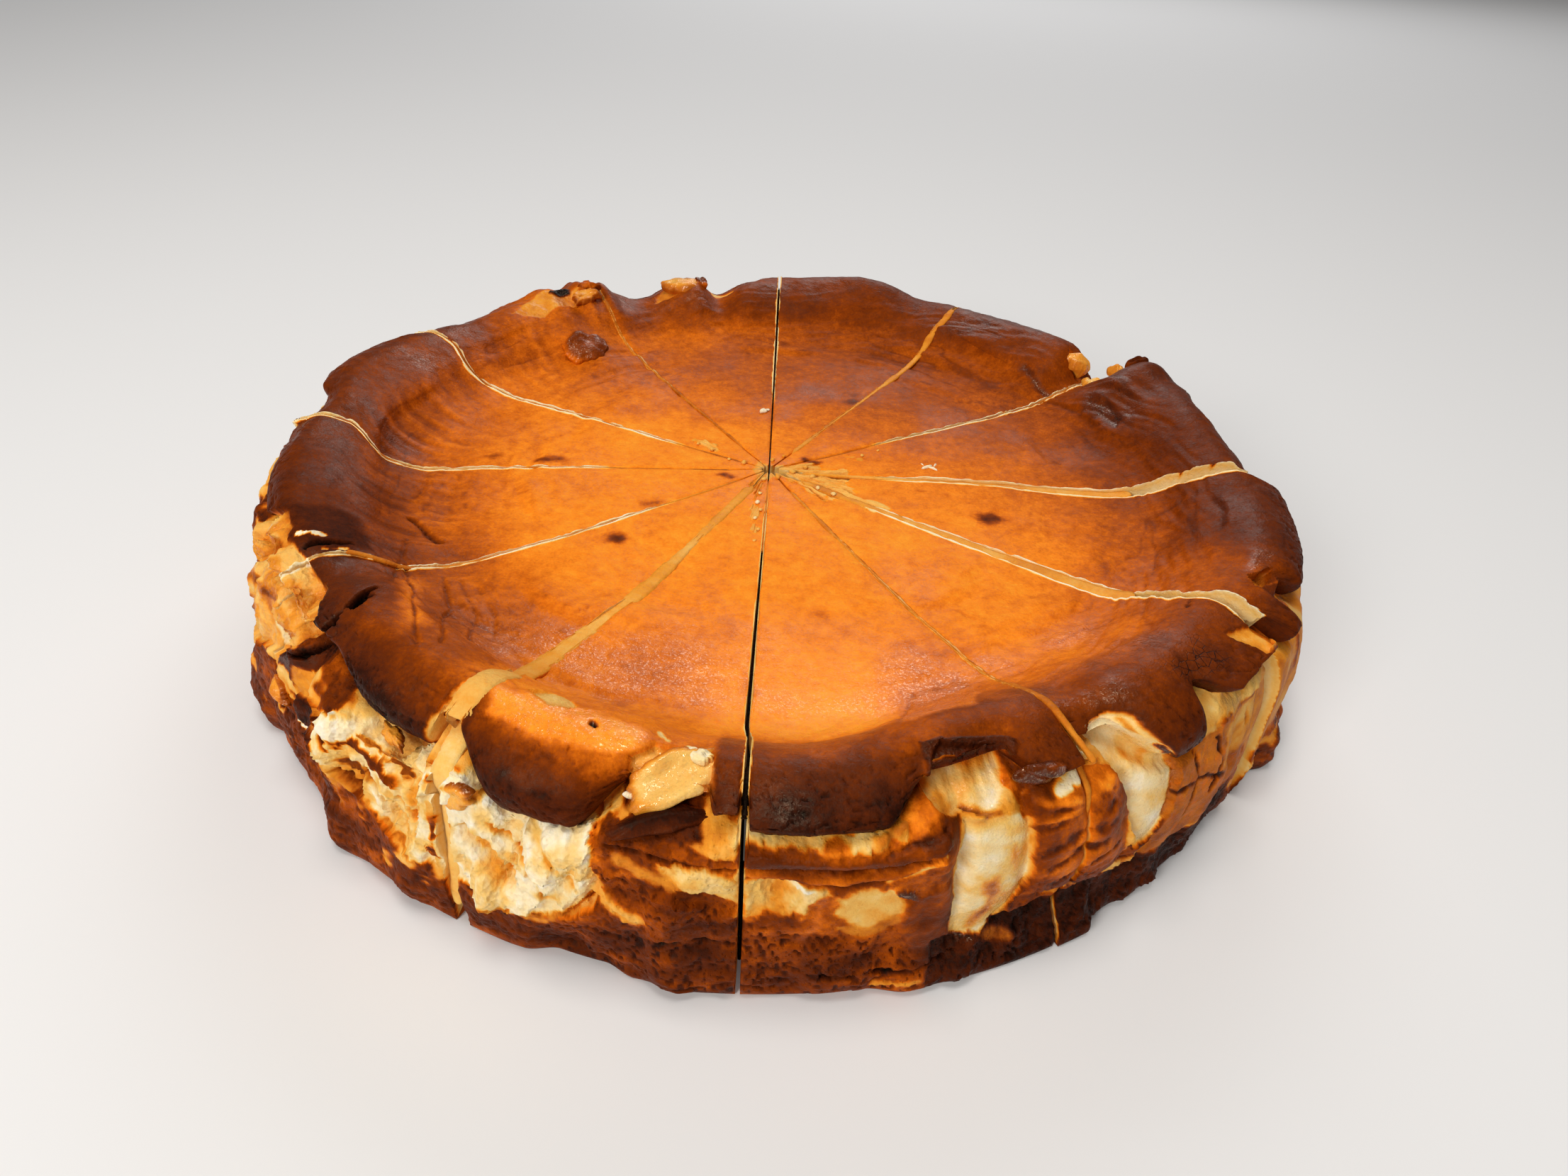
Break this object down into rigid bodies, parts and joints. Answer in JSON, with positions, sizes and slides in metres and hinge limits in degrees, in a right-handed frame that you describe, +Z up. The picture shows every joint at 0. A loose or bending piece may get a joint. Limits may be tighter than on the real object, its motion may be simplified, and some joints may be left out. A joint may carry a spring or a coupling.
{
  "type": "basque cheesecake",
  "caption": "Whole round Basque cheesecake with a sunken amber top, dark rolled crust lip and torn pale sides, cut into wedges that still stand together.",
  "frame": {"origin": "centre of the cake's bounding box, on the surface it stands on", "axes": "+Z up, -Y towards the side the picture shows, +X to its right"},
  "size_m": [0.2591, 0.2564, 0.0527],
  "materials": {
    "baked_cheesecake": "baked crust over pale curd"
  },
  "bodies": {
    "root": {"slice_01": "baked_cheesecake", "slice_02": "baked_cheesecake", "slice_03": "baked_cheesecake", "slice_04": "baked_cheesecake", "slice_05": "baked_cheesecake", "slice_06": "baked_cheesecake", "slice_07": "baked_cheesecake", "slice_08": "baked_cheesecake", "slice_09": "baked_cheesecake", "slice_10": "baked_cheesecake", "slice_11": "baked_cheesecake", "slice_12": "baked_cheesecake"}
  },
  "joints": []
}
